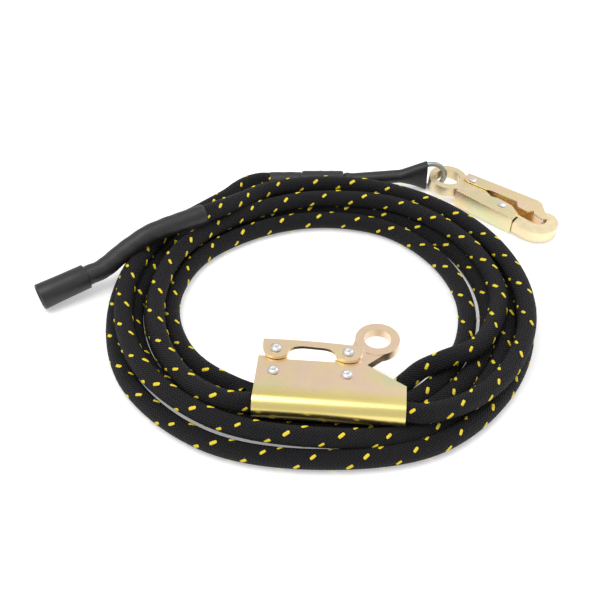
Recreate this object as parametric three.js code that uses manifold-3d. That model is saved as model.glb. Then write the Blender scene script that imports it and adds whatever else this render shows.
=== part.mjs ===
// A fall-arrest rope grab set: the grab on its anchor rope, a double-locking snap hook on a thimble eye,
// and a sleeved stop at the rope's other end. Millimetres, +Z up, standing on z = 0.
import * as THREE from "three";
import { mergeVertices } from "three/addons/utils/BufferGeometryUtils.js";
import Module from "manifold-3d";

const wasm = await Module();
wasm.setup();

// ---- driving dimensions -------------------------------------------------------------------------
const CLEARANCE = 0.3; // between pieces that touch or nearly touch
const RUNNING = 0.4; // radial clearance of a pivot in its hole
const ROPE_RADIUS = 7;
const ROPE_SIDES = 10;

const COIL_INNER = 112; // the coil lies around the set's working origin
const COIL_OUTER = 160;
const COIL_HEIGHT = 2 * ROPE_RADIUS;

const GRAB_LENGTH = 104;
const GRAB_WALL = 2.5;
const GRAB_ROPE_GAP = 0.8; // bend's inside to the rope
const GRAB_CORNER = [-47.7, -117.6]; // rope axis at the body's left end
const GRAB_TURN = THREE.MathUtils.degToRad(-4.9);
const PLATE_TOP = 33; // from the rope's axis
const EAR_TOP = 35.5;
const NOSE_HEIGHT = 14; // plate height at the chamfered end
const CHAMFER_START = [78, 31];
const PIVOT_HEIGHT = 21.5; // body pins above the rope's axis
const CRANK = 19; // body pin to link pin
const PIN_A = 12; // along the body
const PIN_SPACING = 51;
const PIN_RADIUS = 2.3;
const RIVET_HEAD = 4.2;
const RIVET_DOME = 2;
const CAM_THICKNESS = 6;
const CAM_NOSE = 9.5;
const CAM_SKEW = 2; // the nose leans away from the opening turn
const LEVER_EYE = [83, 66];
const LEVER_EYE_OUTER = 16.3;
const LEVER_EYE_HOLE = 9.8;
const LEVER_EYE_THICKNESS = 7;
const LINK_THICKNESS = 2.5;
const LINK_LOBE = 8.5;
const LINK_TOP = 49;
const LINK_ARCH = 43.6;

const HOOK_EYE = [116.6, 162.2, 13]; // centre of the hook's eye
const HOOK_TURN = THREE.MathUtils.degToRad(-38);
const HOOK_PITCH = THREE.MathUtils.degToRad(3.4);
const HOOK_THICKNESS = 9;
const HOOK_EYE_OUTER = 17;
const HOOK_EYE_HOLE = 11;
const SHEET = 1.3; // gate and lock sheet
const GATE_PIVOT = [20, 9];
const LOCK_PIVOT = [59, -7];

const THIMBLE_BAR = 2.3;
const THIMBLE_MEAN = 12;
const SPLICE_Y = 169.4; // the splice lies along X here
const THIMBLE_X = 102.7;
const LABEL_RADIUS = 7.6;
const FERRULE_SLEEVE = 8.7;
const NECK_RADIUS = 6;
const FLARE_HALF_HEIGHT = 14.6;
const FLARE_HALF_WIDTH = 5.8;
const SPLICE_STATIONS = [-44, -15, 23, 80, 98.5]; // label, ferrule, neck, flare, face

const STOP_SLEEVE_RADIUS = 8.1;
const CAP_LENGTH = 40;
const CAP_MOUTH_RADIUS = 10;
const CAP_END_RADIUS = 10.6;
const CAP_BORE_DEPTH = 30;
const CAP_RECESS = 2;

// ---- materials ----------------------------------------------------------------------------------
const finish = (color, roughness, metalness) => new THREE.MeshStandardMaterial({ color, roughness, metalness });
const rope = () => finish(0x1b1a1e, 0.9, 0);
const shrink = () => finish(0x2a2a2d, 0.55, 0);
const zincYellow = () => finish(0xd9bc7c, 0.3, 0.9);
const rivetSteel = () => finish(0xcfcfd2, 0.3, 0.9);
const springSteel = () => finish(0x777a80, 0.35, 0.9);

// ---- solids -------------------------------------------------------------------------------------
function solid(geometry) {
  const bare = geometry.index ? geometry.toNonIndexed() : geometry.clone();
  bare.deleteAttribute("normal");
  bare.deleteAttribute("uv");
  const merged = mergeVertices(bare, 1e-4);
  const mesh = new wasm.Mesh({
    numProp: 3,
    vertProperties: merged.attributes.position.array,
    triVerts: new Uint32Array(merged.index.array),
  });
  return new wasm.Manifold(mesh);
}

function geometryOf(manifold) {
  const { vertProperties, triVerts } = manifold.getMesh();
  const geometry = new THREE.BufferGeometry();
  geometry.setAttribute("position", new THREE.BufferAttribute(vertProperties, 3));
  geometry.setIndex(new THREE.BufferAttribute(triVerts, 1));
  return geometry;
}

const shapeOf = (points) => new THREE.Shape(points.map(([x, y]) => new THREE.Vector2(x, y)));

// A flat plate of an outline, between two heights.
function plate(shape, low, high, curveSegments = 12) {
  const options = { depth: high - low, bevelEnabled: false, curveSegments };
  return solid(new THREE.ExtrudeGeometry(shape, options).translate(0, 0, low));
}

function disc(radius, low, high, [x, y] = [0, 0], sides = 28) {
  const upright = new THREE.CylinderGeometry(radius, radius, high - low, sides).rotateX(Math.PI / 2);
  return solid(upright.translate(x, y, (low + high) / 2));
}

// A turned shape about Z: the profile holds (radius, height) pairs, up the outside.
function turned(profile, sides = 32) {
  const points = profile.map(([r, z]) => new THREE.Vector2(r, z));
  return new THREE.LatheGeometry(points, sides).rotateX(Math.PI / 2);
}

const ring = (inner, outer, low, high, sides) =>
  turned([[inner, low], [outer, low], [outer, high], [inner, high], [inner, low]], sides);

function roundBar(radius, curve, steps, sides = ROPE_SIDES) {
  const corners = [];
  for (let i = 0; i < sides; i++) {
    const angle = (2 * Math.PI * i) / sides;
    corners.push([radius * Math.cos(angle), radius * Math.sin(angle)]);
  }
  return new THREE.ExtrudeGeometry(shapeOf(corners), { steps, extrudePath: curve, bevelEnabled: false });
}

// A rivet about Z with a domed head at each end.
function rivet(radius, half, head, dome, sides = 24) {
  const profile = [[0, -half - dome], [head * 0.62, -half - dome * 0.8], [head, -half - dome * 0.25], [head, -half]];
  profile.push([radius, -half], [radius, half]);
  profile.push([head, half], [head, half + dome * 0.25], [head * 0.62, half + dome * 0.8], [0, half + dome]);
  return turned(profile, sides);
}

const setting = new THREE.Group();
const ownPieces = [];

function piece(parent, name, geometry, material, at = [0, 0, 0], own = true) {
  const mesh = new THREE.Mesh(geometry, material);
  mesh.name = name;
  mesh.position.set(...at);
  parent.add(mesh);
  if (own) ownPieces.push(mesh);
  return mesh;
}

// ---- anchor rope --------------------------------------------------------------------------------
const grabHeight = COIL_HEIGHT + CLEARANCE + ROPE_RADIUS + GRAB_ROPE_GAP + GRAB_WALL;
const along = [Math.cos(GRAB_TURN), Math.sin(GRAB_TURN)];
const polar = (degrees, radius, z) => {
  const angle = THREE.MathUtils.degToRad(degrees);
  return new THREE.Vector3(radius * Math.cos(angle), radius * Math.sin(angle), z);
};
const onGrabLine = (u) =>
  new THREE.Vector3(GRAB_CORNER[0] + u * along[0], GRAB_CORNER[1] + u * along[1], grabHeight);

const ON_COIL = COIL_HEIGHT + ROPE_RADIUS + 0.5;
const runPoints = [
  polar(160, 125, ON_COIL),
  polar(180, 126, ON_COIL),
  polar(200, 129, ON_COIL),
  polar(220, 133, 22.2),
  polar(232, 135, 23.9),
  onGrabLine(-14),
  onGrabLine(0),
  onGrabLine(52),
  onGrabLine(104),
  onGrabLine(118),
  polar(312, 153.5, 23.4),
  polar(328, 157, ON_COIL),
  polar(345, 158, ON_COIL),
  polar(360, 157, ON_COIL),
  polar(375, 155, ON_COIL),
  polar(390, 153, ON_COIL),
  polar(405, 151, ON_COIL),
  polar(420, 149, ON_COIL),
  polar(435, 147, ON_COIL),
  polar(448, 145.5, ON_COIL),
  new THREE.Vector3(-18, 142.5, 22),
  new THREE.Vector3(-43, 132.5, 24.5),
  new THREE.Vector3(-67, 110.5, 29),
  new THREE.Vector3(-83, 93, 33.6),
  new THREE.Vector3(-95, 84, 35),
];
const leadPoints = [
  new THREE.Vector3(SPLICE_STATIONS[0] - 2 * CLEARANCE, SPLICE_Y, FERRULE_SLEEVE + 0.1),
  new THREE.Vector3(-53, SPLICE_Y, 8.6),
  new THREE.Vector3(-63, 165.8, 8),
  new THREE.Vector3(-72, 158.3, 7.5),
  new THREE.Vector3(-80.5, 147.6, 7.2),
];

piece(setting, "rope_coil", ring(COIL_INNER, COIL_OUTER, 0, COIL_HEIGHT, 64), rope(), [0, 0, 0], false);
const run = new THREE.CatmullRomCurve3(runPoints);
piece(setting, "rope_run", roundBar(ROPE_RADIUS, run, 44), rope(), [0, 0, 0], false);
const lead = new THREE.CatmullRomCurve3(leadPoints);
piece(setting, "rope_lead_in", roundBar(ROPE_RADIUS, lead, 5), rope(), [0, 0, 0], false);

// ---- splice end: sleeves, ferrule and thimble ---------------------------------------------------
const [labelStart, ferruleStart, neckStart, flareStart, flareFace] = SPLICE_STATIONS;
const spliceZ = FERRULE_SLEEVE + 0.1;
const thimbleZ = THIMBLE_MEAN + THIMBLE_BAR;
const alongX = (from, to) => [from + CLEARANCE / 2, to - CLEARANCE / 2];

function barAlongX(radius, from, to, sides) {
  const bar = new THREE.CylinderGeometry(radius, radius, to - from, sides).rotateZ(Math.PI / 2);
  return bar.translate((from + to) / 2, SPLICE_Y, spliceZ);
}

const label = solid(barAlongX(LABEL_RADIUS, ...alongX(labelStart, ferruleStart), 24));
piece(setting, "label_sleeve", geometryOf(label), shrink(), [0, 0, 0], false);

const ferruleSpan = alongX(ferruleStart, neckStart);
const ferruleRadius = FERRULE_SLEEVE - 1.2;
const ferruleSpace = barAlongX(ferruleRadius + CLEARANCE, ferruleSpan[0] + 1.5, ferruleSpan[1] + 1, 24);
const ferruleSleeve = solid(barAlongX(FERRULE_SLEEVE, ...ferruleSpan, 24)).subtract(solid(ferruleSpace));
piece(setting, "ferrule_sleeve", geometryOf(ferruleSleeve), shrink());
const ferrule = barAlongX(ferruleRadius, ferruleSpan[0] + 1.5 + CLEARANCE, ferruleSpan[1] - CLEARANCE, 24);
piece(setting, "splice_ferrule", ferrule, finish(0xa9abad, 0.4, 0.8));

const neckAxis = new THREE.LineCurve3(
  new THREE.Vector3(neckStart + CLEARANCE / 2, SPLICE_Y, spliceZ),
  new THREE.Vector3(flareStart + 6, SPLICE_Y, thimbleZ),
);
const flareShape = shapeOf([
  [flareStart - 4, thimbleZ - NECK_RADIUS - 0.6],
  [flareStart + 5, thimbleZ - 9.4],
  [flareFace, thimbleZ - FLARE_HALF_HEIGHT + CLEARANCE],
  [flareFace, thimbleZ + FLARE_HALF_HEIGHT],
  [flareStart + 5, thimbleZ + 9.4],
  [flareStart - 4, thimbleZ + NECK_RADIUS - 0.8],
]);
const flareGeometry = new THREE.ExtrudeGeometry(flareShape, { depth: 2 * FLARE_HALF_WIDTH, bevelEnabled: false });
flareGeometry.translate(0, 0, -FLARE_HALF_WIDTH).rotateX(Math.PI / 2).translate(0, SPLICE_Y, 0);

// A round ring standing in the XZ plane, by its bar radius.
function standingRing(bar) {
  const section = [];
  for (let i = 0; i <= 12; i++) {
    const angle = (2 * Math.PI * i) / 12;
    section.push(new THREE.Vector2(THIMBLE_MEAN + bar * Math.cos(angle), bar * Math.sin(angle)));
  }
  return new THREE.LatheGeometry(section, 40).translate(THIMBLE_X, SPLICE_Y, thimbleZ);
}
const eyeSleeve = solid(roundBar(NECK_RADIUS, neckAxis, 1, 16))
  .add(solid(flareGeometry))
  .subtract(solid(standingRing(THIMBLE_BAR + CLEARANCE)));
piece(setting, "eye_sleeve", geometryOf(eyeSleeve), shrink());
piece(setting, "thimble", standingRing(THIMBLE_BAR), finish(0x9fa2a0, 0.45, 0.8));

// ---- stop end: sleeve, cap and plug -------------------------------------------------------------
const capMouth = new THREE.Vector3(-186.3, 25.8, 15.9);
const capAxis = new THREE.Vector3(-34.3, -20.8, -4.3).normalize();
const capInside = (distance) => capMouth.clone().addScaledVector(capAxis, distance);
const stopPoints = [
  new THREE.Vector3(-95.8, 83.4, 35),
  new THREE.Vector3(-116, 70.5, 35.2),
  new THREE.Vector3(-138, 56.5, 34),
  new THREE.Vector3(-158, 43.8, 26),
  capInside(-14),
  capInside(-4),
  capInside(CAP_BORE_DEPTH / 2),
  capInside(CAP_BORE_DEPTH - CLEARANCE),
];
const stopCurve = new THREE.CatmullRomCurve3(stopPoints);
piece(setting, "stop_sleeve", roundBar(STOP_SLEEVE_RADIUS, stopCurve, 16, 12), shrink(), [0, 0, 0], false);

const capBore = STOP_SLEEVE_RADIUS + 0.5;
const plugRadius = CAP_END_RADIUS - 1.6;
const capProfile = [
  [0, CAP_BORE_DEPTH],
  [capBore, CAP_BORE_DEPTH],
  [capBore, 0],
  [CAP_MOUTH_RADIUS, 0],
  [CAP_END_RADIUS, CAP_LENGTH - 1],
  [CAP_END_RADIUS - 0.6, CAP_LENGTH],
  [plugRadius + CLEARANCE, CAP_LENGTH],
  [plugRadius + CLEARANCE, CAP_LENGTH - CAP_RECESS - 1.5],
  [0, CAP_LENGTH - CAP_RECESS - 1.5],
];
const capSeat = new THREE.Group();
capSeat.position.copy(capMouth);
capSeat.quaternion.setFromUnitVectors(new THREE.Vector3(0, 0, 1), capAxis);
setting.add(capSeat);
piece(capSeat, "stop_cap", turned(capProfile), shrink());
const plugLow = CAP_LENGTH - CAP_RECESS - 1.5 + CLEARANCE;
piece(capSeat, "end_plug", geometryOf(disc(plugRadius, plugLow, plugLow + 1.4)), finish(0x6b4a34, 0.7, 0));

// ---- grab ---------------------------------------------------------------------------------------
const grab = new THREE.Group();
grab.position.set(GRAB_CORNER[0], GRAB_CORNER[1], grabHeight);
grab.rotation.z = GRAB_TURN;
setting.add(grab);

const bendInside = ROPE_RADIUS + GRAB_ROPE_GAP;
const bendOutside = bendInside + GRAB_WALL;
const pinA = [PIN_A, PIVOT_HEIGHT];
const pinB = [PIN_A + PIN_SPACING, PIVOT_HEIGHT];
const linkA = [PIN_A, PIVOT_HEIGHT + CRANK];
const linkB = [PIN_A + PIN_SPACING, PIVOT_HEIGHT + CRANK];

// A folded sheet: a U section carried along the rope, cut to the side plates' outline.
function grabBody() {
  const section = new THREE.Shape();
  section.moveTo(EAR_TOP + 1, bendOutside);
  section.lineTo(0, bendOutside);
  section.absarc(0, 0, bendOutside, Math.PI / 2, 1.5 * Math.PI, false);
  section.lineTo(EAR_TOP + 1, -bendOutside);
  section.lineTo(EAR_TOP + 1, -bendInside);
  section.lineTo(0, -bendInside);
  section.absarc(0, 0, bendInside, 1.5 * Math.PI, Math.PI / 2, true);
  section.lineTo(EAR_TOP + 1, bendInside);
  const sheet = new THREE.ExtrudeGeometry(section, { depth: GRAB_LENGTH, bevelEnabled: false, curveSegments: 20 });
  const ropewise = new THREE.Matrix4().makeBasis(
    new THREE.Vector3(0, 1, 0), new THREE.Vector3(0, 0, 1), new THREE.Vector3(1, 0, 0));
  sheet.applyMatrix4(ropewise);
  const outline = shapeOf([
    [-1, -bendOutside - 1],
    [GRAB_LENGTH + 1, -bendOutside - 1],
    [GRAB_LENGTH + 1, NOSE_HEIGHT - 0.7],
    CHAMFER_START,
    [PIN_A + PIN_SPACING + 10, EAR_TOP],
    [PIN_A + PIN_SPACING - 9, EAR_TOP],
    [PIN_A + PIN_SPACING - 9, PLATE_TOP],
    [PIN_A + 9, PLATE_TOP],
    [PIN_A + 9, EAR_TOP],
    [-1, EAR_TOP],
  ]);
  const hole = PIN_RADIUS + RUNNING;
  return solid(sheet)
    .intersect(plate(outline, -20, 20))
    .subtract(disc(hole, -20, 20, pinA))
    .subtract(disc(hole, -20, 20, pinB));
}
piece(grab, "grab_body", geometryOf(grabBody()), zincYellow());

// The cam's working nose stands this far below its pin, just clear of the rope.
const noseDrop = PIVOT_HEIGHT - ROPE_RADIUS - CLEARANCE - CAM_NOSE;

// A crank plate about its body pin at the origin: a cam nose, a boss, and an arm to the link pin.
function crank(extra) {
  const half = CAM_THICKNESS / 2;
  const arm = shapeOf([[-7, 0], [7, 0], [7, CRANK], [-7, CRANK]]);
  const hole = PIN_RADIUS + RUNNING;
  let body = disc(CAM_NOSE, -half, half, [-CAM_SKEW, -noseDrop], 36)
    .add(disc(8, -half, half))
    .add(plate(arm, -half, half))
    .add(disc(7, -half, half, [0, CRANK]));
  if (extra) body = body.add(extra);
  return body.subtract(disc(hole, -20, 20)).subtract(disc(hole, -20, 20, [0, CRANK]));
}

// The lever's arm and eye, measured from the same pin.
function leverArm() {
  const eye = [LEVER_EYE[0] - pinB[0], LEVER_EYE[1] - pinB[1]];
  const half = LEVER_EYE_THICKNESS / 2;
  const reach = LEVER_EYE_OUTER * 0.9;
  const arm = shapeOf([[7, CRANK - 7.5], [eye[0] + reach * 0.55, eye[1] - reach * 0.85],
    [eye[0] - reach, eye[1] + 2], [-3, CRANK + 3]]);
  return plate(arm, -CAM_THICKNESS / 2, CAM_THICKNESS / 2)
    .add(disc(LEVER_EYE_OUTER, -half, half, eye, 44))
    .subtract(disc(LEVER_EYE_HOLE, -20, 20, eye, 36));
}
const lever = new THREE.Group();
lever.position.set(pinB[0], pinB[1], 0);
grab.add(lever);
piece(lever, "lever_cam", geometryOf(crank(leverArm())), zincYellow());
const rear = new THREE.Group();
rear.position.set(pinA[0], pinA[1], 0);
grab.add(rear);
piece(rear, "rear_cam", geometryOf(crank()), zincYellow());

// Two link plates join the cranks outside the body, with an arched lower edge between the lobes.
const linkInside = bendOutside + 0.5;
const linkOutside = linkInside + LINK_THICKNESS;
function linkShape() {
  const shape = new THREE.Shape();
  const drop = LINK_LOBE * 0.98;
  shape.moveTo(-LINK_LOBE - 1.5, LINK_TOP - linkA[1] + 0.5);
  shape.lineTo(-LINK_LOBE - 1.2, 2);
  shape.quadraticCurveTo(-LINK_LOBE, -drop, 0, -drop);
  shape.quadraticCurveTo(LINK_LOBE, -drop, LINK_LOBE + 1, -1);
  shape.quadraticCurveTo(LINK_LOBE + 3, LINK_ARCH - linkA[1], LINK_LOBE + 11, LINK_ARCH - linkA[1] + 0.4);
  shape.lineTo(PIN_SPACING - LINK_LOBE - 9, LINK_ARCH - linkA[1] - 0.4);
  shape.quadraticCurveTo(PIN_SPACING - LINK_LOBE - 3, LINK_ARCH - linkA[1] - 1, PIN_SPACING - LINK_LOBE - 0.5, -2);
  shape.quadraticCurveTo(PIN_SPACING - LINK_LOBE + 1, -drop, PIN_SPACING, -drop);
  shape.quadraticCurveTo(PIN_SPACING + LINK_LOBE, -drop, PIN_SPACING + LINK_LOBE + 1.5, 0);
  shape.lineTo(PIN_SPACING + LINK_LOBE + 2, LINK_TOP - linkA[1] - 2);
  shape.quadraticCurveTo(PIN_SPACING / 2, LINK_TOP - linkA[1] + 1.5, -LINK_LOBE - 1.5, LINK_TOP - linkA[1] + 0.5);
  return shape;
}
const links = new THREE.Group();
links.position.set(linkA[0], linkA[1], 0);
grab.add(links);
for (const [name, low, high] of [["upper", linkInside, linkOutside], ["lower", -linkOutside, -linkInside]]) {
  const hole = PIN_RADIUS + RUNNING;
  const link = plate(linkShape(), low, high, 8)
    .subtract(disc(hole, -20, 20))
    .subtract(disc(hole, -20, 20, [PIN_SPACING, 0]));
  piece(links, `link_plate_${name}`, geometryOf(link), zincYellow());
}

// Pins, and the spacers and spring that keep each crank central between the side plates.
const camSide = CAM_THICKNESS / 2 + CLEARANCE;
const plateSide = bendInside - CLEARANCE;
const spacerBore = PIN_RADIUS + CLEARANCE;
for (const [name, at] of [["a", pinA], ["b", pinB]]) {
  const pin = rivet(PIN_RADIUS, bendOutside + CLEARANCE, RIVET_HEAD, RIVET_DOME);
  piece(grab, `body_rivet_${name}`, pin, rivetSteel(), [...at, 0]);
}
for (const [name, group] of [["a", rear], ["b", lever]]) {
  const pin = rivet(PIN_RADIUS, linkOutside + CLEARANCE, RIVET_HEAD, RIVET_DOME);
  piece(group, `link_rivet_${name}`, pin, rivetSteel(), [0, CRANK, 0]);
  const upper = ring(spacerBore, 5.5, camSide, plateSide, 20);
  piece(group, `link_bush_${name}_upper`, upper, zincYellow(), [0, CRANK, 0]);
  const lower = ring(spacerBore, 5.5, -plateSide, -camSide, 20);
  piece(group, `link_bush_${name}_lower`, lower, zincYellow(), [0, CRANK, 0]);
}
piece(grab, "cam_spacer_a_upper", ring(spacerBore, 5, camSide, plateSide, 20), rivetSteel(), [...pinA, 0]);
piece(grab, "cam_spacer_a_lower", ring(spacerBore, 5, -plateSide, -camSide, 20), rivetSteel(), [...pinA, 0]);
piece(grab, "cam_spacer_b_lower", ring(spacerBore, 5, -plateSide, -camSide, 20), rivetSteel(), [...pinB, 0]);
piece(grab, "lever_spring", ring(spacerBore + 0.5, 5.4, camSide, plateSide, 20), springSteel(), [...pinB, 0]);

// ---- snap hook ----------------------------------------------------------------------------------
const hook = new THREE.Group();
hook.position.set(...HOOK_EYE);
hook.rotation.set(0, HOOK_PITCH, HOOK_TURN, "ZYX");
setting.add(hook);

const hookHalf = HOOK_THICKNESS / 2;
const gateInside = hookHalf + 0.4;
const gateOutside = gateInside + SHEET;
const lockInside = gateOutside + 0.4;
const lockOutside = lockInside + SHEET;
const hookPin = 2.1;
const springPocket = 2.2;
const springOuter = 4.4;

function hookBody() {
  const outline = new THREE.Shape();
  outline.moveTo(0, 0);
  outline.lineTo(9, -14.4);
  outline.lineTo(16.5, -9);
  outline.lineTo(77, -9);
  outline.lineTo(77, -18.5);
  outline.quadraticCurveTo(83, -20.3, 91, -20);
  outline.absarc(91, -1.5, 18.5, -Math.PI / 2, 0.6, false);
  outline.quadraticCurveTo(99, 17, 91.5, 12.5);
  outline.lineTo(95.5, 7);
  outline.absarc(90.5, 0.8, 8, 0.9, -Math.PI / 2, true);
  outline.lineTo(70, -5.5);
  outline.lineTo(60, -3.5);
  outline.lineTo(47, 0);
  outline.lineTo(30, 8);
  outline.lineTo(10, 13.7);
  const hole = hookPin + RUNNING;
  return plate(outline, -hookHalf, hookHalf)
    .add(disc(HOOK_EYE_OUTER, -hookHalf, hookHalf, [0, 0], 44))
    .subtract(disc(HOOK_EYE_HOLE, -20, 20, [0, 0], 36))
    .subtract(disc(hole, -20, 20, GATE_PIVOT))
    .subtract(disc(hole, -20, 20, LOCK_PIVOT))
    .subtract(disc(springOuter + CLEARANCE, hookHalf - springPocket, 20, GATE_PIVOT))
    .subtract(disc(springOuter + CLEARANCE, hookHalf - springPocket, 20, LOCK_PIVOT));
}

// A folded sheet: an outline's full width, hollowed on the inner side of its web.
function foldedSheet(outline, hollow, inside, outside, pivot) {
  return plate(shapeOf(outline), -outside, outside)
    .subtract(plate(shapeOf(hollow), -inside, inside))
    .subtract(disc(hookPin + RUNNING, -20, 20, pivot));
}
const gateOutline = [[12.5, 15.5], [13, 6], [17, 4.5], [66, 8], [70, 2], [80, 1.5], [83.5, 6], [86, 2.5],
  [95, 0.5], [98, 4.5], [84, 20.5], [79, 21.8]];
const gateHollow = [[12, 0], [100, -1], [100, 30], [80, 30], [80, 20.5], [13.8, 14.2], [12, 14]];
const lockOutline = [[18, -16.5], [76, -18.5], [76, -9], [66, -2], [52, -1], [40, -5], [24, -9.5], [18, -10.5]];
const lockHollow = [[17, -15.2], [77, -17.2], [77, 1], [17, 1]];

piece(hook, "hook_body", geometryOf(hookBody()), zincYellow());
const gate = foldedSheet(gateOutline, gateHollow, gateInside, gateOutside, GATE_PIVOT);
piece(hook, "hook_gate", geometryOf(gate), zincYellow());
const lock = foldedSheet(lockOutline, lockHollow, lockInside, lockOutside, LOCK_PIVOT);
piece(hook, "hook_lock_lever", geometryOf(lock), zincYellow());
const gateRivet = rivet(hookPin, gateOutside + CLEARANCE, 3.6, 0.9, 20);
piece(hook, "gate_rivet", gateRivet, rivetSteel(), [...GATE_PIVOT, 0]);
const lockRivet = rivet(hookPin, lockOutside + CLEARANCE, 3.6, 0.9, 20);
piece(hook, "lock_rivet", lockRivet, rivetSteel(), [...LOCK_PIVOT, 0]);
for (const [name, at] of [["gate_spring", GATE_PIVOT], ["lock_spring", LOCK_PIVOT]]) {
  const coil = ring(hookPin + 0.5, springOuter, hookHalf - springPocket + CLEARANCE, hookHalf, 18);
  piece(hook, name, coil, springSteel(), [...at, 0]);
}

// The whole set stands over the middle of its own pieces, the free rope left out.
setting.updateMatrixWorld(true);
const box = new THREE.Box3();
for (const mesh of ownPieces) box.expandByObject(mesh, true);
const middle = box.getCenter(new THREE.Vector3());
setting.position.set(-middle.x, -middle.y, -box.min.z);
const model = new THREE.Group();
model.add(setting);

export default model;
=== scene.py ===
"""Rope grab on its coiled anchor rope: surfaces, finishes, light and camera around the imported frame."""
import math

import bmesh
import bpy
import numpy as np
from bpy.props import FloatProperty, FloatVectorProperty, PointerProperty
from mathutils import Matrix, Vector


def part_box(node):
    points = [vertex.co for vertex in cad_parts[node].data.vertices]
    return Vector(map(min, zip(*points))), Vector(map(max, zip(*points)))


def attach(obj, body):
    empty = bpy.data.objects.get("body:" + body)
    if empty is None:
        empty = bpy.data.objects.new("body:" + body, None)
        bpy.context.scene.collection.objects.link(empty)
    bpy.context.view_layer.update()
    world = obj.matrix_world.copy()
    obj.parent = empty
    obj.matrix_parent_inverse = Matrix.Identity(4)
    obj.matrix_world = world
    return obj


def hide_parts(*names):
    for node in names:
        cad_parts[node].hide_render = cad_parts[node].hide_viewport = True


bl_info = {
    "name": "Rope grab set",
    "version": (1, 0, 0),
    "blender": (4, 5, 0),
    "location": "View3D > Sidebar > Rope grab",
    "description": "Builds a rope grab on its anchor rope, with its snap hook and sleeved ends",
    "category": "Add Mesh",
}

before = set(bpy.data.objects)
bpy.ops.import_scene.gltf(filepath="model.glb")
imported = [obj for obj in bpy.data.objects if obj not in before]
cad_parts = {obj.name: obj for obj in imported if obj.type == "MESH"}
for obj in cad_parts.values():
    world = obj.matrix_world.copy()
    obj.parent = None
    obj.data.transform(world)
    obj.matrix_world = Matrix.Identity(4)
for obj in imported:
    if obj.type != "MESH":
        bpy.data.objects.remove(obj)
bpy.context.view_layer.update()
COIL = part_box("rope_coil")
CENTRE = np.array(((COIL[0].x + COIL[1].x) / 2, (COIL[0].y + COIL[1].y) / 2, 0.0))
MM = 0.001


# ---- settings -----------------------------------------------------------------------------------
def colour(name, description, value):
    return FloatVectorProperty(name=name, description=description, subtype="COLOR", size=4, min=0, max=1,
                               default=(*value, 1))


def length(name, description, value):
    return FloatProperty(name=name, description=description, subtype="DISTANCE", unit="LENGTH",
                         default=value)


class RopeSettings(bpy.types.PropertyGroup):
    """Sizes and colours of the anchor rope and its sleeves."""
    diameter: length("Diameter", "Outside of the braided sheath", 0.014)
    carrier: length("Carrier width", "Width of one braided carrier", 0.0024)
    fleck_length: length("Tracer length", "Length of one tracer stitch", 0.0068)
    fleck_width: length("Tracer width", "Width of one tracer stitch", 0.0032)
    fleck_pitch: length("Tracer pitch", "Distance between stitches on one line along the rope", 0.034)
    sheath: colour("Sheath", "Braided sheath", (0.0055, 0.005, 0.0065))
    tracer: colour("Tracer", "Tracer yarn", (0.93, 0.72, 0.02))
    shrink: colour("Shrink sleeve", "Heat-shrink sleeves and the stop cap", (0.014, 0.0135, 0.0145))
    plug: colour("End plug", "Rubber face inside the stop cap", (0.09, 0.045, 0.025))


class MetalSettings(bpy.types.PropertyGroup):
    """Colours and edge radii of the plated metal, and the painted highlight colour along the grab body's
    fold.
    """
    edge: length("Sheet edge", "Edge radius on cut sheet", 0.0004)
    forged_edge: length("Forged edge", "Edge radius on the forged hook", 0.0016)
    plate_pink: colour("Plating, pink", "Pink film colour of the zinc plate", (0.95, 0.71, 0.55))
    plate_gold: colour("Plating, gold", "Gold film colour of the zinc plate", (0.95, 0.77, 0.46))
    plate_green: colour("Plating, green", "Green film colour of the zinc plate", (0.80, 0.80, 0.50))
    # Painted highlight: the yellow of the highlight along the grab body's bend is painted into the plating
    # there.
    fold_highlight: colour("Plating, fold", "Deeper yellow along the fold", (0.84, 0.70, 0.24))
    forged: colour("Forged plating", "Pale plating on the forged hook", (0.93, 0.78, 0.50))
    rivet: colour("Rivet", "Bright rivet heads", (0.80, 0.79, 0.81))
    galvanised: colour("Galvanised", "Thimble", (0.42, 0.44, 0.42))


class StageSettings(bpy.types.PropertyGroup):
    """Camera distance, elevation and lens."""
    distance: length("Camera distance", "From the aimed point on the floor", 0.777)
    elevation: FloatProperty(name="Elevation", description="Camera above the horizon, in degrees",
                             default=42.0)
    lens: FloatProperty(name="Lens", description="Focal length, in millimetres", default=57.6)


def settings():
    scene = bpy.context.scene
    return scene.rope_grab_rope, scene.rope_grab_metal, scene.rope_grab_stage


# ---- curves and surfaces ------------------------------------------------------------------------
def polar(degrees, radius, z):
    """A point round the coil's middle: radius times cosine and sine of the angle, and its height."""
    angle = math.radians(degrees)
    return (radius * math.cos(angle), radius * math.sin(angle), z)


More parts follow.
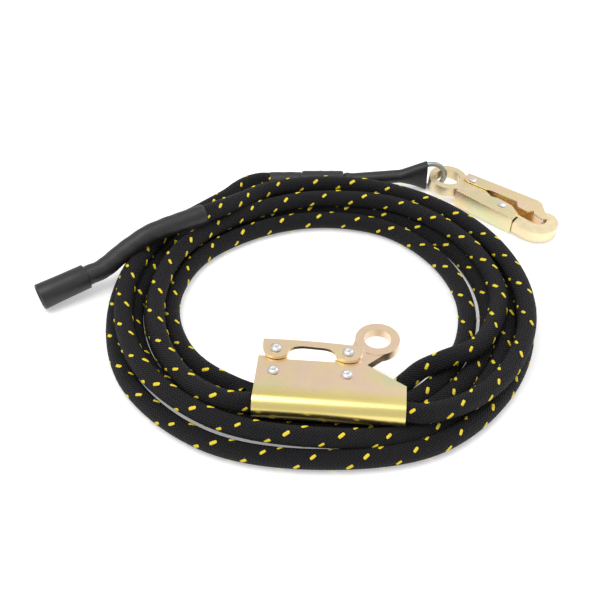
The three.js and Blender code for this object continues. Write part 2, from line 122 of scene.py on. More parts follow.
def smooth_curve(points, step):
    """Centripetal Catmull-Rom curve through points: each span blends four neighbours, whose knots are
    spaced by the square root of their distance, and the result is walked at an even step."""
    p = np.asarray(points, float)
    p = np.vstack([2 * p[0] - p[1], p, 2 * p[-1] - p[-2]])
    parts = []
    for a, b, c, d in zip(p[:-3], p[1:-2], p[2:-1], p[3:]):
        k = np.cumsum([0] + [math.sqrt(np.linalg.norm(q - r)) for q, r in ((b, a), (c, b), (d, c))])
        count = max(4, int(np.linalg.norm(c - b) / 0.001))
        t = np.linspace(k[1], k[2], count, endpoint=False)[:, None]
        ab = (k[1] - t) / (k[1] - k[0]) * a + (t - k[0]) / (k[1] - k[0]) * b
        bc = (k[2] - t) / (k[2] - k[1]) * b + (t - k[1]) / (k[2] - k[1]) * c
        cd = (k[3] - t) / (k[3] - k[2]) * c + (t - k[2]) / (k[3] - k[2]) * d
        abc = (k[2] - t) / (k[2] - k[0]) * ab + (t - k[0]) / (k[2] - k[0]) * bc
        bcd = (k[3] - t) / (k[3] - k[1]) * bc + (t - k[1]) / (k[3] - k[1]) * cd
        parts.append((k[2] - t) / (k[2] - k[1]) * abc + (t - k[1]) / (k[2] - k[1]) * bcd)
    line = np.vstack(parts + [p[-2][None]])
    run = np.concatenate([[0], np.cumsum(np.linalg.norm(np.diff(line, axis=0), axis=1))])
    even = np.linspace(0, run[-1], max(3, int(round(run[-1] / step)) + 1))
    return np.stack([np.interp(even, run, line[:, i]) for i in range(3)], axis=1), even


def moving_axes(line):
    """Along, side and up at each point of a line that is never upright: side is along crossed with Z."""
    along = np.gradient(line, axis=0)
    along /= np.linalg.norm(along, axis=1)[:, None]
    side = np.cross(along, (0, 0, 1.0))
    side /= np.linalg.norm(side, axis=1)[:, None]
    return along, side, np.cross(side, along)


def shell(name, rings, across=None, closed=True):
    """A closed tube from rings of points (ring, point, xyz): neighbours are joined by quads, and each end is
    drawn to the middle of its ring. The UV map holds the distance along and the share of the way round."""
    count, sides = rings.shape[:2]
    across = np.arange(count) * 0.001 if across is None else across
    verts = np.vstack([rings.reshape(-1, 3), rings[0].mean(0), rings[-1].mean(0)])
    i, j = np.meshgrid(np.arange(count - 1), np.arange(sides), indexing="ij")
    after = (j + 1) % sides
    quads = np.stack([i * sides + j, (i + 1) * sides + j, (i + 1) * sides + after, i * sides + after], -1)
    quads = quads.reshape(-1, 4)
    around, following = np.arange(sides), (np.arange(sides) + 1) % sides
    first = np.stack([np.full(sides, count * sides), around, following], -1)
    base = (count - 1) * sides
    last = np.stack([np.full(sides, count * sides + 1), base + following, base + around], -1)
    loops = np.concatenate([quads.ravel(), first.ravel(), last.ravel()]).astype(np.int32)
    totals = np.concatenate([np.full(len(quads), 4), np.full(2 * sides, 3)]).astype(np.int32)
    u = np.stack([across[i], across[i + 1], across[i + 1], across[i]], -1).reshape(-1)
    v = np.stack([j, j, j + 1, j + 1], -1).reshape(-1) / sides
    ends = np.zeros((6 * sides, 2))
    uv = np.vstack([np.stack([u, v], -1), ends]).astype(np.float32)
    mesh = bpy.data.meshes.new(name)
    mesh.vertices.add(len(verts))
    mesh.vertices.foreach_set("co", verts.astype(np.float32).ravel())
    mesh.loops.add(len(loops))
    mesh.loops.foreach_set("vertex_index", loops)
    mesh.polygons.add(len(totals))
    mesh.polygons.foreach_set("loop_start", np.concatenate([[0], np.cumsum(totals)[:-1]]).astype(np.int32))
    mesh.polygons.foreach_set("use_smooth", np.ones(len(totals), bool))
    mesh.update(calc_edges=True)
    mesh.uv_layers.new(name="UVMap").data.foreach_set("uv", uv.ravel())
    mesh.validate()
    return link(name, mesh)


def link(name, mesh):
    piece = bpy.data.objects.new(name, mesh)
    bpy.context.scene.collection.objects.link(piece)
    return piece


def tube_rings(line, radius, sides):
    """Rings about a line: radius times cosine along side, and times sine along up; radius may vary by ring
    and by angle."""
    _, side, up = moving_axes(line)
    angle = np.linspace(0, 2 * math.pi, sides, endpoint=False)
    radius = np.broadcast_to(np.asarray(radius, float), (len(line), sides))[..., None]
    cosine, sine = np.cos(angle)[None, :, None], np.sin(angle)[None, :, None]
    spokes = cosine * side[:, None] + sine * up[:, None]
    return line[:, None] + radius * spokes


def turned(name, profile, origin, axis, sides=64):
    """A solid of revolution: each (radius, height) pair of the profile becomes a ring about the axis."""
    axis = Vector(axis).normalized()
    side = axis.orthogonal().normalized()
    up = np.array(axis.cross(side))
    side = np.array(side)
    angle = np.linspace(0, 2 * math.pi, sides, endpoint=False)
    profile = np.asarray(profile, float) * MM
    spokes = np.cos(angle)[:, None] * side + np.sin(angle)[:, None] * up
    rings = np.array(origin) + profile[:, :1, None] * spokes + profile[:, 1:, None] * np.array(axis)
    return shell(name, rings[::-1], np.arange(len(profile)) * MM)


def rounded_corner(centre, radius, start, end, steps=5):
    """Points of an arc between two angles in degrees."""
    angle = np.radians(np.linspace(start, end, steps))
    return [(centre[0] + radius * math.cos(a), centre[1] + radius * math.sin(a)) for a in angle]


def softened(node, name, width, segments=2, sharp=32):
    """A welded copy of a CAD solid with its flats merged and its cut edges rounded by a bevel."""
    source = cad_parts[node]
    mesh = bpy.data.meshes.new(name)
    work = bmesh.new()
    work.from_mesh(source.data)
    bmesh.ops.remove_doubles(work, verts=work.verts, dist=2e-6)
    bmesh.ops.dissolve_limit(work, angle_limit=math.radians(0.6), verts=work.verts, edges=work.edges)
    for face in work.faces:
        face.smooth = True
    for edge in work.edges:
        edge.smooth = len(edge.link_faces) != 2 or edge.calc_face_angle(0) < math.radians(sharp)
    work.to_mesh(mesh)
    work.free()
    piece = link(name, mesh)
    bevel = piece.modifiers.new("Edges", "BEVEL")
    bevel.width = width
    bevel.segments = segments
    bevel.limit_method = "ANGLE"
    bevel.angle_limit = math.radians(sharp)
    bevel.harden_normals = True
    bevel.miter_outer = "MITER_ARC"
    return piece


def place(piece, material, body, slot, *nodes):
    piece.data.materials.clear()
    piece.data.materials.append(material)
    if nodes:
        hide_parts(*nodes)
    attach(piece, body)
    return piece


# ---- materials ----------------------------------------------------------------------------------
class Nodes:
    """A small helper that adds nodes and joins their sockets."""

    def __init__(self, name):
        self.material = bpy.data.materials.new(name)
        self.material.use_nodes = True
        self.tree = self.material.node_tree
        self.shader = self.tree.nodes["Principled BSDF"]

    def add(self, kind, inputs=(), **attributes):
        node = self.tree.nodes.new(kind)
        for key, value in attributes.items():
            setattr(node, key, value)
        for key, value in dict(inputs).items():
            self.put(node.inputs[key], value)
        return node

    def put(self, socket, value):
        if isinstance(value, bpy.types.NodeSocket):
            self.tree.links.new(value, socket)
        else:
            socket.default_value = value

    def math(self, operation, first, second=0.0):
        return self.add("ShaderNodeMath", {0: first, 1: second}, operation=operation).outputs[0]

    def noise(self, vector, scale, detail=3.0):
        node = self.add("ShaderNodeTexNoise", {"Vector": vector, "Scale": scale, "Detail": detail})
        return node.outputs["Fac"]

    def ramp(self, factor, stops):
        node = self.add("ShaderNodeValToRGB", {"Fac": factor})
        while len(node.color_ramp.elements) < len(stops):
            node.color_ramp.elements.new(0.5)
        for element, (position, value) in zip(node.color_ramp.elements, stops):
            element.position = position
            element.color = value
        return node.outputs["Color"]

    def mix(self, factor, first, second):
        node = self.add("ShaderNodeMix", data_type="RGBA")
        for key, value in ((0, factor), (6, first), (7, second)):
            self.put(node.inputs[key], value)
        return node.outputs[2]

    def bump(self, height, strength, distance):
        node = self.add("ShaderNodeBump", {"Height": height, "Strength": strength, "Distance": distance})
        self.put(self.shader.inputs["Normal"], node.outputs[0])

    def surface(self, base, roughness, metallic=0.0):
        self.put(self.shader.inputs["Base Color"], base)
        self.put(self.shader.inputs["Roughness"], roughness)
        self.put(self.shader.inputs["Metallic"], metallic)
        return self.material


def scaled(rgba, share):
    return (*[c * share for c in rgba[:3]], 1)


def braid_height(nodes, carrier, around):
    """Twill braid: two families of yarns cross at 45 degrees, and a checker of their cells says which one
    lies on top. Each yarn is round across and dips at its ends."""
    uv = nodes.add("ShaderNodeSeparateXYZ", {0: nodes.add("ShaderNodeUVMap", uv_map="UVMap").outputs[0]})
    turn = nodes.math("MULTIPLY", uv.outputs[1], float(around))
    travel = nodes.math("DIVIDE", uv.outputs[0], carrier)
    first, second = nodes.math("ADD", travel, turn), nodes.math("SUBTRACT", travel, turn)
    arch = []
    for family in (first, second):
        share = nodes.math("FRACT", nodes.math("ADD", family, 1000.0))
        arch.append(nodes.math("SINE", nodes.math("MULTIPLY", share, math.pi)))
    cells = nodes.math("ADD", nodes.math("FLOOR", first), nodes.math("FLOOR", second))
    over = nodes.math("MODULO", nodes.math("ADD", cells, 1000.0), 2.0)
    under = nodes.math("SUBTRACT", 1.0, over)
    dips = [nodes.math("MULTIPLY_ADD", a, 0.45) for a in arch]
    for dip in dips:
        dip.node.inputs[2].default_value = 0.55
    top = nodes.math("MULTIPLY", nodes.math("MULTIPLY", arch[0], dips[1]), over)
    low = nodes.math("MULTIPLY", nodes.math("MULTIPLY", arch[1], dips[0]), under)
    return nodes.math("ADD", top, low)


def rope_material(rope):
    nodes = Nodes("braided_sheath")
    around = round(math.pi * rope.diameter / rope.carrier)
    height = braid_height(nodes, rope.carrier, around)
    where = nodes.add("ShaderNodeTexCoord").outputs["Object"]
    fuzz = nodes.noise(where, 900.0, 2.0)
    # Painted shade and highlight: the braid height colours the sheath, painted darker in the dips between
    # yarns and painted lighter (light) on the yarn crowns; the fine noise only varies it at random.
    dip_shade, light = scaled(rope.sheath, 0.25), scaled(rope.sheath, 4.2)
    shade_and_fuzz = nodes.math("MULTIPLY", height, nodes.math("ADD", nodes.math("MULTIPLY", fuzz, 0.9), 0.45))
    base = nodes.ramp(shade_and_fuzz, [(0.0, dip_shade), (0.55, tuple(rope.sheath)), (1.0, light)])
    nodes.bump(nodes.math("ADD", height, nodes.math("MULTIPLY", fuzz, 0.25)), 1.0, 0.0013)
    nodes.shader.inputs["Sheen Weight"].default_value = 0.03
    nodes.shader.inputs["Specular IOR Level"].default_value = 0.25
    nodes.shader.inputs["Sheen Roughness"].default_value = 0.4
    return nodes.surface(base, 0.72)


def tracer_material(rope):
    nodes = Nodes("tracer_yarn")
    where = nodes.add("ShaderNodeTexCoord").outputs["Object"]
    fuzz = nodes.noise(where, 1500.0, 2.0)
    base = nodes.mix(fuzz, scaled(rope.tracer, 0.72), tuple(rope.tracer))
    nodes.bump(fuzz, 0.4, 0.0003)
    return nodes.surface(base, 0.6)


def shrink_material(rope, embossed):
    nodes = Nodes("shrink_sleeve_embossed" if embossed else "shrink_sleeve")
    where = nodes.add("ShaderNodeTexCoord").outputs["Object"]
    broad, fine = nodes.noise(where, 90.0, 4.0), nodes.noise(where, 1400.0, 2.0)
    base = nodes.mix(broad, scaled(rope.shrink, 0.75), scaled(rope.shrink, 1.5))
    height = nodes.math("ADD", nodes.math("MULTIPLY", broad, 0.5), nodes.math("MULTIPLY", fine, 0.15))
    if embossed:
        around = round(math.pi * rope.diameter / rope.carrier)
        braid = nodes.math("MULTIPLY", braid_height(nodes, rope.carrier, around), 0.6)
        height = nodes.math("ADD", height, braid)
    nodes.bump(height, 0.35, 0.0006)
    return nodes.surface(base, nodes.math("ADD", nodes.math("MULTIPLY", broad, 0.2), 0.34))


def plug_material(rope):
    nodes = Nodes("end_rubber")
    where = nodes.add("ShaderNodeTexCoord").outputs["Object"]
    grain = nodes.noise(where, 700.0, 3.0)
    nodes.bump(grain, 0.3, 0.0004)
    return nodes.surface(nodes.mix(grain, scaled(rope.plug, 0.6), scaled(rope.plug, 1.5)), 0.7)


def plated_material(name, metal, fold_highlight_axis=None):
    """Zinc film: slow noise picks between pink, gold and green; along the fold a painted highlight deepens it
    to yellow. The fold is found by the distance across the grab from the rope's axis."""
    nodes = Nodes(name)
    where = nodes.add("ShaderNodeTexCoord").outputs["Object"]
    slow, grain = nodes.noise(where, 26.0, 2.5), nodes.noise(where, 1100.0, 3.0)
    stops = [(0.34, tuple(metal.plate_green)), (0.44, tuple(metal.plate_gold)),
             (0.56, tuple(metal.plate_pink)), (0.70, tuple(metal.plate_gold))]
    base = nodes.ramp(slow, stops)
    # Painted highlight: a deeper yellow is mixed in near the bend, where the highlight falls.
    if fold_highlight_axis:
        point, across = fold_highlight_axis
        offset = nodes.add("ShaderNodeVectorMath", {0: where, 1: point}, operation="SUBTRACT").outputs[0]
        reach = nodes.add("ShaderNodeVectorMath", {0: offset, 1: across}, operation="DOT_PRODUCT")
        share = nodes.add("ShaderNodeMapRange", {"Value": reach.outputs["Value"], "From Min": 0.009,
                                                 "From Max": 0.0005})
        base = nodes.mix(share.outputs[0], base, tuple(metal.fold_highlight))
    spots = nodes.noise(where, 240.0, 4.0)
    base = nodes.mix(nodes.math("MULTIPLY", spots, 0.28), base, scaled(metal.plate_gold, 0.72))
    nodes.bump(grain, 0.08, 0.0002)
    rough = nodes.math("ADD", nodes.math("MULTIPLY", slow, 0.16), 0.2)
    return nodes.surface(base, rough, 1.0)


def plain_metal(name, rgba, low, spread):
    nodes = Nodes(name)
    where = nodes.add("ShaderNodeTexCoord").outputs["Object"]
    broad, grain = nodes.noise(where, 160.0, 4.0), nodes.noise(where, 1300.0, 3.0)
    base = nodes.mix(broad, scaled(rgba, 0.82), scaled(rgba, 1.08))
    nodes.bump(grain, 0.1, 0.0002)
    return nodes.surface(base, nodes.math("ADD", nodes.math("MULTIPLY", broad, spread), low), 1.0)


# ---- the rope's route ---------------------------------------------------------------------------
FLOOR = 7.0
ON_COIL = 21.5
SPLICE_Y = 169.4
SPLICE_Z = 8.8
THIMBLE_BAR = 2.3
PRESSED_TOP = 10.9
ROPE_STEP = 0.0022  # between the rope's rings, in metres
ROPE_SIDES = 28
UNSTITCHED = 0.13  # the last stretch of rope, inside its sleeve and cap, in metres
GRAB_CORNER = (-47.7, -117.6)
GRAB_TURN = math.radians(-4.9)
GRAB_Z = 24.6


def on_grab_line(u):
    return (GRAB_CORNER[0] + u * math.cos(GRAB_TURN), GRAB_CORNER[1] + u * math.sin(GRAB_TURN), GRAB_Z)


LEAD = [(-14.9, SPLICE_Y, SPLICE_Z), (-30, SPLICE_Y, SPLICE_Z), (-44.6, SPLICE_Y, SPLICE_Z),
        (-53, SPLICE_Y, 8.6), (-63, 165.8, 8), (-72, 158.3, 7.5), (-80.5, 147.6, 7.2)]
# Each turn: the angle it starts at, then its radius every 30 degrees, and its height where it is lifted.
TURNS = [
    (150, [162, 159, 161.5, 158.5, 153, 160, 159, 159, 159, 159], {}),
    (450, [153.7, 151.5, 152, 152, 151, 147, 143, 148, 145, 145, 145, 143],
     {480: 8.5, 510: 18, 540: 19.1, 570: 19, 600: 18.6, 630: 17.7, 660: 9.5}),
    (810, [139.7, 138.5, 144, 145, 143, 135, 130, 132, 131, 131, 131, 129], {}),
    (1170, [125.7, 125, 130, 131, 128, 120, 116, 118.5, 116, 114, 113, 114.5], {}),
    (1530, [111.7, 111, 116, 117, 113, 105, 102, 104], {1740: 7.3}),
]
CLIMB = [(1746, 104.5, 11.5), (1752, 106.5, 17), (1760, 114, 21), (1774, 129, 20.8),
         (1800, 138, 19.3), (1830, 137, 19.3), (1860, 134, 19.6),
         (1890, 126, 19.3), (1910, 123, 19), (1930, 122.5, 19.2), (1945, 123.5, 20.3)]
RUN_START = [(160, 125, ON_COIL), (180, 126, ON_COIL), (200, 129, ON_COIL), (220, 133, 22.2),
             (232, 135, 23.9)]
RUN_END = [(312, 153.5, 23.4), (328, 157, ON_COIL), (345, 158, ON_COIL), (360, 157, ON_COIL),
           (375, 155, ON_COIL), (390, 153, ON_COIL), (405, 151, ON_COIL), (420, 149, ON_COIL),
           (435, 147, ON_COIL), (448, 145.5, ON_COIL)]
OVER = [(-18, 142.5, 22), (-43, 132.5, 24.5), (-67, 110.5, 29), (-83, 93, 33.6), (-95, 84, 35)]
STOP = [(-95.8, 83.4, 35), (-116, 70.5, 35.2), (-138, 56.5, 34), (-158, 43.8, 26)]
CAP_MOUTH = np.array((-186.3, 25.8, 15.9))
CAP_AXIS = np.array((-34.3, -20.8, -4.3)) / np.linalg.norm((-34.3, -20.8, -4.3))


def in_cap(distance):
    return tuple(CAP_MOUTH + CAP_AXIS * distance)


def in_row(points):
    """Millimetres about the coil's middle to metres in the row's frame."""
    return np.asarray(points, float) * MM + CENTRE


def rope_points():
    points = list(LEAD)
    for start, radii, heights in TURNS:
        for step, radius in enumerate(radii):
            angle = start + 30 * step
            points.append(polar(angle, radius, heights.get(angle, FLOOR)))
    points += [polar(*key) for key in CLIMB + RUN_START]
    points += [on_grab_line(u) for u in (-14, 0, 52, 104, 118)]
    points += [polar(*key) for key in RUN_END]
    return in_row(points + OVER + STOP[1:] + [in_cap(d) for d in (-14, -4, 15, 27)])


def pressed(points, line):
    """Flattens the top of the innermost turn where the grab lies on it: heights above the pressed top fall
    back to it, eased in over the first and last few degrees of the stretch."""
    at = (line - CENTRE) / MM
    angle = np.degrees(np.arctan2(at[..., 1], at[..., 0])) % 360
    ease = np.clip((angle - 232) / 6, 0, 1) * np.clip((302 - angle) / 4, 0, 1)
    ease = ease * (np.hypot(at[..., 0], at[..., 1]) < 112) * (at[..., 2] < 9)
    out = points.copy()
    out[..., 2] -= ease * np.maximum(points[..., 2] - PRESSED_TOP * MM, 0)
    return out


def make_flecks(rope, line, run):
    """Tracer stitches: small pads on the sheath, raised in the middle and sunk at the rim, slanted along one
    yarn direction. Six lines run along the rope, and neighbours are a third of the pitch apart."""
    lines = 6
    starts = []
    for k in range(lines):
        start = rope.fleck_pitch * (k % 3) / 3 + 0.004
        starts.append(np.arange(start, run[-1] - UNSTITCHED, rope.fleck_pitch))
    centre_u = np.concatenate(starts)
    centre_v = np.concatenate([np.full(len(s), 2 * math.pi * k / lines) for k, s in enumerate(starts)])
    draw = np.random.default_rng(7)
    centre_u = centre_u + draw.normal(0, 0.0009, len(centre_u))
    centre_v = centre_v + draw.normal(0, 0.07, len(centre_v))
    size = draw.uniform(0.85, 1.1, len(centre_u))
    a, b = np.meshgrid(np.linspace(-1, 1, 5), np.linspace(-1, 1, 5), indexing="ij")
    round_b = b * np.sqrt(np.clip(1 - 0.75 * a**4, 0, 1))
    long_, wide = rope.fleck_length / 2 * a, rope.fleck_width / 2 * round_b
    slant = math.radians(40)
    du = (long_ * math.cos(slant) - wide * math.sin(slant))[None] * size[:, None, None]
    dv = (long_ * math.sin(slant) + wide * math.cos(slant))[None] * size[:, None, None]
    lift = ((1 - a**4) * (1 - b**4) * 0.00075 - 0.00035)[None]
    u = centre_u[:, None, None] + du
    angle = centre_v[:, None, None] + dv / (rope.diameter / 2)
    _, side, up = moving_axes(line)
    at = [np.stack([np.interp(u, run, part[:, i]) for i in range(3)], -1) for part in (line, side, up)]
    radius = (rope.diameter / 2 + lift)[..., None]
    verts = at[0] + radius * (np.cos(angle)[..., None] * at[1] + np.sin(angle)[..., None] * at[2])
    verts = pressed(verts, at[0])
    count = len(centre_u)
    base = np.arange(count)[:, None, None] * 25
    i, j = np.meshgrid(np.arange(4), np.arange(4), indexing="ij")
    quads = np.stack([i * 5 + j, i * 5 + j + 1, (i + 1) * 5 + j + 1, (i + 1) * 5 + j], -1).reshape(1, 16, 4)
    faces = (quads + base).reshape(-1, 4)
    mesh = bpy.data.meshes.new("tracer_flecks")
    mesh.vertices.add(count * 25)
    mesh.vertices.foreach_set("co", verts.astype(np.float32).ravel())
    mesh.loops.add(faces.size)
    mesh.loops.foreach_set("vertex_index", faces.astype(np.int32).ravel())
    mesh.polygons.add(len(faces))
    mesh.polygons.foreach_set("loop_start", (np.arange(len(faces)) * 4).astype(np.int32))
    mesh.polygons.foreach_set("use_smooth", np.ones(len(faces), bool))
    mesh.update(calc_edges=True)
    return link("tracer_flecks", mesh)


# ---- operators ----------------------------------------------------------------------------------
class ROPEGRAB_OT_stage(bpy.types.Operator):
    """Pale floor, soft studio light and the camera."""
    bl_idname = "ropegrab.stage"
    bl_label = "Stage"

    def execute(self, context):
        stage = settings()[2]
        scene = context.scene
        scene.view_settings.view_transform = "Standard"
        aim = Vector(in_row((-12, 9, 0)))
        tilt = math.radians(stage.elevation)
        data = bpy.data.cameras.new("camera")
        data.lens, data.sensor_width = stage.lens, 36.0
        data.clip_start, data.clip_end = 0.01, 50
        camera = link("camera", data)
        camera.location = aim + stage.distance * Vector((0, -math.cos(tilt), math.sin(tilt)))
        camera.rotation_euler = (math.pi / 2 - tilt, 0, 0)
        scene.camera = camera
        half = 6.0
        floor = bpy.data.meshes.new("floor")
        floor.from_pydata([(-half, -half, -0.0003), (half, -half, -0.0003), (half, half, -0.0003),
                           (-half, half, -0.0003)], [], [(0, 1, 2, 3)])
        ground = link("floor", floor)
        nodes = Nodes("white_floor")
        nodes.shader.inputs["Specular IOR Level"].default_value = 0.0
        nodes.surface((0.9, 0.9, 0.9, 1), 1.0)
        path = nodes.add("ShaderNodeLightPath")
        seen = nodes.math("MAXIMUM", path.outputs["Is Camera Ray"], path.outputs["Is Glossy Ray"])
        glow = nodes.math("MULTIPLY", seen, 0.3)
        nodes.shader.inputs["Emission Color"].default_value = (1, 1, 1, 1)
        nodes.put(nodes.shader.inputs["Emission Strength"], glow)
        floor.materials.append(nodes.material)
        world = bpy.data.worlds.new("studio")
        scene.world = world
        world.use_nodes = True
        background = world.node_tree.nodes["Background"]
        background.inputs["Color"].default_value = (1, 1, 1, 1)
        background.inputs["Strength"].default_value = 0.75
        for name, spot, size, power in (
            ("key", (-0.5, -0.3, 1.5), 1.0, 11),
            ("fill", (0.9, 0.6, 1.2), 0.9, 5),
        ):
            lamp = bpy.data.lights.new(name, "AREA")
            lamp.size, lamp.energy = size, power
            light = link(name, lamp)
            light.location = Vector(spot)
            light.rotation_euler = (aim - light.location).to_track_quat("-Z", "Y").to_euler()
        return {"FINISHED"}


class ROPEGRAB_OT_rope(bpy.types.Operator):
    """The whole anchor rope with its braided sheath and tracer stitches."""
    bl_idname = "ropegrab.rope"
    bl_label = "Anchor rope"

    def execute(self, context):
        rope = settings()[0]
        line, run = smooth_curve(rope_points(), ROPE_STEP)
        rings = pressed(tube_rings(line, rope.diameter / 2, ROPE_SIDES), line[:, None])
        piece = shell("anchor_rope", rings, run)
        place(piece, rope_material(rope), "anchor_rope", "rope", "rope_coil", "rope_run", "rope_lead_in")
        flecks = place(make_flecks(rope, line, run), tracer_material(rope), "anchor_rope", "rope")
        embossed = shrink_material(rope, True)
        under_label = [(x, SPLICE_Y, SPLICE_Z) for x in (-15.2, -43.8)]
        label = self.sleeve("label_shrink", under_label, 7.55, 0.5)
        place(label, embossed, "anchor_rope", "shrink", "label_sleeve")
        stop = self.sleeve("stop_shrink", STOP + [in_cap(d) for d in (-14, -4, 15, 26)], 8.0, 0.7)
        place(stop, embossed, "anchor_rope", "shrink", "stop_sleeve")
        return {"FINISHED"}

    def sleeve(self, name, points, radius, lip):
        """A shrunk tube: its radius falls at each end over a short curl, with a slow unevenness between."""
        line, run = smooth_curve(in_row(points), 0.001)
        share = np.minimum(run, run[-1] - run)
        curl = 1 - np.clip(1 - share / (lip * 3 * MM), 0, 1) ** 2 * 0.9 * lip / radius
        angle = np.linspace(0, 2 * math.pi, 48, endpoint=False)
        wave = 0.10 * np.sin(run[:, None] * 520 + 3 * angle) + 0.07 * np.sin(run[:, None] * 310 - 2 * angle)
        uneven = (radius * curl[:, None] + wave * (share[:, None] > 0.002)) * MM
        return shell(name, tube_rings(line, uneven, 48), run)


class ROPEGRAB_OT_splice(bpy.types.Operator):
    """The ferrule sleeve, the flared eye sleeve, the hidden ferrule and the thimble."""
    bl_idname = "ropegrab.splice"
    bl_label = "Splice end"

    def execute(self, context):
        rope, metal, _ = settings()
        shrink = shrink_material(rope, False)
        ferrule = [(x, SPLICE_Y, SPLICE_Z) for x in (-14.8, 4, 22.8)]
        line, run = smooth_curve(in_row(ferrule), 0.0008)
        share = np.clip(np.minimum(run, run[-1] - run) / 0.0022, 0, 1)
        ridge = 0.18 * np.exp(-(((run - 0.017) / 0.0011) ** 2))
        ridge += 0.15 * np.exp(-(((run - 0.027) / 0.0009) ** 2))
        radius = (7.9 + 0.75 * np.sin(share * math.pi / 2) + ridge) * MM
        piece = shell("ferrule_shrink", tube_rings(line, radius[:, None], 56), run)
        place(piece, shrink, "anchor_rope", "shrink", "ferrule_sleeve")
        place(self.flare(), shrink, "anchor_rope", "shrink", "eye_sleeve")
        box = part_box("thimble")
        middle = (box[0] + box[1]) / 2
        angle = np.linspace(0, 2 * math.pi, 97)
        bar = THIMBLE_BAR * MM
        mean = (box[1].x - box[0].x) / 2 - bar
        level = np.full(len(angle), middle.y)
        ring = np.stack([middle.x - mean * np.cos(angle), level, middle.z + mean * np.sin(angle)], -1)
        radial = (ring - np.array(middle)) / mean
        turn = np.linspace(0, 2 * math.pi, 24, endpoint=False)
        groove = bar * (1 - 0.14 * np.exp(-((turn / 0.5) ** 2)))
        cosine, sine = np.cos(turn)[None, :, None], np.sin(turn)[None, :, None]
        spokes = cosine * radial[:, None] + sine * np.array((0, 1.0, 0))
        ringwise = ring[:, None] + groove[None, :, None] * spokes
        thimble = shell("thimble_ring", ringwise, mean * angle)
        material = plain_metal("galvanised_steel", metal.galvanised, 0.34, 0.25)
        self.weld(thimble)
        place(thimble, material, "anchor_rope", "galvanised", "thimble")
        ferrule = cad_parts["splice_ferrule"]
        ferrule.data.materials.clear()
        ferrule.data.materials.append(plain_metal("swaged_aluminium", (0.6, 0.6, 0.61, 1), 0.35, 0.2))
        return {"FINISHED"}

    def weld(self, piece):
        """Joins the first and last ring of a full turn and drops the two end fans."""
        work = bmesh.new()
        work.from_mesh(piece.data)
        fans = [f for f in work.faces if len(f.verts) == 3]
        bmesh.ops.delete(work, geom=fans, context="FACES")
        loose = [v for v in work.verts if not v.link_faces]
        bmesh.ops.delete(work, geom=loose, context="VERTS")
        bmesh.ops.remove_doubles(work, verts=work.verts, dist=1e-6)
        bmesh.ops.recalc_face_normals(work, faces=work.faces)
        work.to_mesh(piece.data)
        work.free()

    def flare(self):
        """Neck and flare: an oval section whose height eases from neck to flare along the splice."""
        x = np.array([23.2, 24.2, 26, 40, 60, 72, 78, 83, 88, 92, 95, 97.4, 98.3])
        line, run = smooth_curve(in_row(np.stack([x, np.full(13, SPLICE_Y), SPLICE_Z + 5.5 * np.clip(
            (x - 23.2) / 62.8, 0, 1)], -1)), 0.0008)
        at = (line[:, 0] - CENTRE[0]) / MM
        rise = np.clip((at - 74) / 24.3, 0, 1)
        tall = 5.9 + 8.3 * rise**1.15 + 0.9 * np.exp(-(((at - 26) / 3) ** 2))
        tall -= 0.9 * np.clip((at - 97.2) / 1.1, 0, 1) ** 2 + 0.6 * np.clip((24.2 - at), 0, 1) ** 2
        wide = 5.9 - 0.3 * rise + 0.9 * np.exp(-(((at - 26) / 3) ** 2))
        side = moving_axes(line)[1]
        angle = np.linspace(0, 2 * math.pi, 64, endpoint=False)
        power = (1 - 0.45 * rise)[:, None]
        cosine, sine = np.cos(angle)[None], np.sin(angle)[None]
        across = np.sign(cosine) * np.abs(cosine) ** power * wide[:, None]
        height = np.sign(sine) * np.abs(sine) ** power * tall[:, None]
        spokes = across[..., None] * side[:, None] + height[..., None] * np.array((0, 0, 1.0))
        rings = line[:, None] + MM * spokes
        return shell("eye_shrink", rings, run)


class ROPEGRAB_OT_stop(bpy.types.Operator):
    """The stop cap and the plug in its end."""
    bl_idname = "ropegrab.stop"
    bl_label = "Stop end"

    def execute(self, context):
        rope = settings()[0]
        mouth, end = 10.0, 10.6
        profile = [(0, 28), (8.5, 28), (8.5, 1.2)]
        profile += rounded_corner((mouth - 0.8, 0.8), 0.8, 225, 360)
        profile += [(mouth + 0.1, 12), (mouth + 0.25, 26)]
        profile += rounded_corner((end - 1.0, 39.0), 1.0, 0, 90)
        profile += rounded_corner((end - 1.5, 39.3), 0.6, 90, 180, 4)
        profile += [(end - 2.1, 37.2), (0, 37.2)]
        cap = turned("stop_cap_shell", profile, in_row(CAP_MOUTH), CAP_AXIS, 96)
        place(cap, shrink_material(rope, False), "anchor_rope", "shrink", "stop_cap")
        face = [(0, 37.25), (8.2, 37.25), (8.45, 37.6), (7.9, 38.2), (4, 38.35), (0, 38.3)]
        plug = turned("end_plug_face", face, in_row(CAP_MOUTH), CAP_AXIS, 64)
        place(plug, plug_material(rope), "anchor_rope", "end_plug", "end_plug")
        return {"FINISHED"}


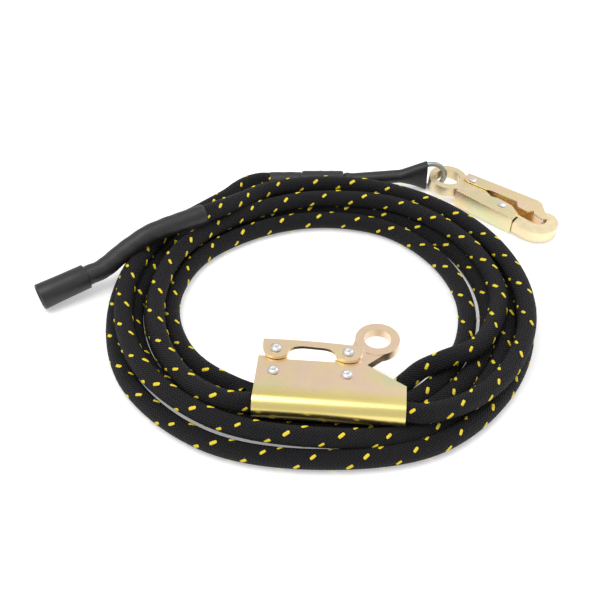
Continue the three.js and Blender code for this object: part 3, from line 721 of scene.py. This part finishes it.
class ROPEGRAB_OT_grab(bpy.types.Operator):
    """The folded body, cams, lever, link plates and rivets."""
    bl_idname = "ropegrab.grab"
    bl_label = "Grab"

    def execute(self, context):
        metal = settings()[1]
        # The body's material carries the painted yellow highlight along its fold.
        across = (-math.sin(GRAB_TURN), math.cos(GRAB_TURN), 0)
        fold_highlight = plated_material("zinc_yellow_body", metal, (tuple(in_row((*GRAB_CORNER, 0))), across))
        sheet = plated_material("zinc_yellow_sheet", metal)
        place(softened("grab_body", "body_sheet", metal.edge), fold_highlight, "grab", "zinc_yellow", "grab_body")
        lever = softened("lever_cam", "lever_plate", metal.edge * 1.6, 3)
        place(lever, sheet, "lever", "zinc_yellow", "lever_cam")
        rear = softened("rear_cam", "rear_cam_plate", metal.edge * 1.6)
        place(rear, sheet, "rear", "zinc_yellow", "rear_cam")
        for side in ("upper", "lower"):
            piece = softened(f"link_plate_{side}", f"link_{side}", metal.edge * 1.4, 3)
            place(piece, sheet, "links", "zinc_yellow", f"link_plate_{side}")
        bright = plain_metal("bright_rivet", metal.rivet, 0.24, 0.2)
        for name, body in (("body_rivet_a", "grab"), ("body_rivet_b", "grab"), ("link_rivet_a", "rear"),
                           ("link_rivet_b", "lever")):
            rivet_piece(name, body, 4.2, 2.0, 2.3, bright)
        for name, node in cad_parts.items():
            if name.startswith(("link_bush", "cam_spacer")) or name == "lever_spring":
                node.data.materials.clear()
                node.data.materials.append(bright)
        return {"FINISHED"}


class ROPEGRAB_OT_hook(bpy.types.Operator):
    """The forged hook, its gate, lock lever, rivets and springs."""
    bl_idname = "ropegrab.hook"
    bl_label = "Snap hook"

    def execute(self, context):
        metal = settings()[1]
        forged = plain_metal("forged_plating", metal.forged, 0.24, 0.14)
        sheet = plated_material("zinc_yellow_hook", metal)
        bright = plain_metal("hook_rivet", metal.rivet, 0.24, 0.2)
        body = softened("hook_body", "hook_forging", metal.forged_edge, 4)
        place(body, forged, "hook", "forged_zinc", "hook_body")
        gate = softened("hook_gate", "gate_sheet", metal.edge)
        place(gate, sheet, "gate", "zinc_yellow", "hook_gate")
        lock = softened("hook_lock_lever", "lock_sheet", metal.edge)
        place(lock, sheet, "lock", "zinc_yellow", "hook_lock_lever")
        for name in ("gate_rivet", "lock_rivet", "gate_spring", "lock_spring"):
            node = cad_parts[name]
            node.data.materials.clear()
            node.data.materials.append(bright)
        return {"FINISHED"}


def rivet_piece(node, body, head, dome, shank, material):
    """A turned rivet along Z: a shank between two domes, each with a shallow staked dish in its middle."""
    low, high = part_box(node)
    half = (high.z - low.z) / 2 / MM - dome
    top = [(shank, half), (head - 0.3, half), (head, half + 0.3), (head * 0.97, half + 0.6),
           (head * 0.8, half + dome * 0.72), (head * 0.58, half + dome * 0.96), (head * 0.46, half + dome),
           (head * 0.34, half + dome * 0.88), (0, half + dome * 0.84)]
    profile = [(r, -z) for r, z in top[::-1]] + top
    piece = turned(f"{node}_turned", profile, (low + high) / 2, (0, 0, 1), 48)
    return place(piece, material, body, "rivet_steel", node)


class ROPEGRAB_PT_panel(bpy.types.Panel):
    """Lists the operators and settings."""
    bl_idname = "ROPEGRAB_PT_panel"
    bl_label = "Rope grab"
    bl_space_type = "VIEW_3D"
    bl_region_type = "UI"
    bl_category = "Rope grab"

    def draw(self, context):
        for operator in OPERATORS:
            self.layout.operator(operator.bl_idname)
        for group in settings():
            for name in group.__annotations__:
                self.layout.prop(group, name)


GROUPS = {"rope_grab_rope": RopeSettings, "rope_grab_metal": MetalSettings,
          "rope_grab_stage": StageSettings}
OPERATORS = (ROPEGRAB_OT_stage, ROPEGRAB_OT_rope, ROPEGRAB_OT_splice, ROPEGRAB_OT_stop, ROPEGRAB_OT_grab,
             ROPEGRAB_OT_hook)


def register():
    for item in (*GROUPS.values(), *OPERATORS, ROPEGRAB_PT_panel):
        bpy.utils.register_class(item)
    for name, group in GROUPS.items():
        setattr(bpy.types.Scene, name, PointerProperty(type=group))


def unregister():
    for name in GROUPS:
        delattr(bpy.types.Scene, name)
    for item in (ROPEGRAB_PT_panel, *OPERATORS[::-1], *list(GROUPS.values())[::-1]):
        bpy.utils.unregister_class(item)


def main():
    register()
    bpy.ops.ropegrab.stage()
    bpy.ops.ropegrab.rope()
    bpy.ops.ropegrab.splice()
    bpy.ops.ropegrab.stop()
    bpy.ops.ropegrab.grab()
    bpy.ops.ropegrab.hook()


if __name__ == "__main__":
    main()
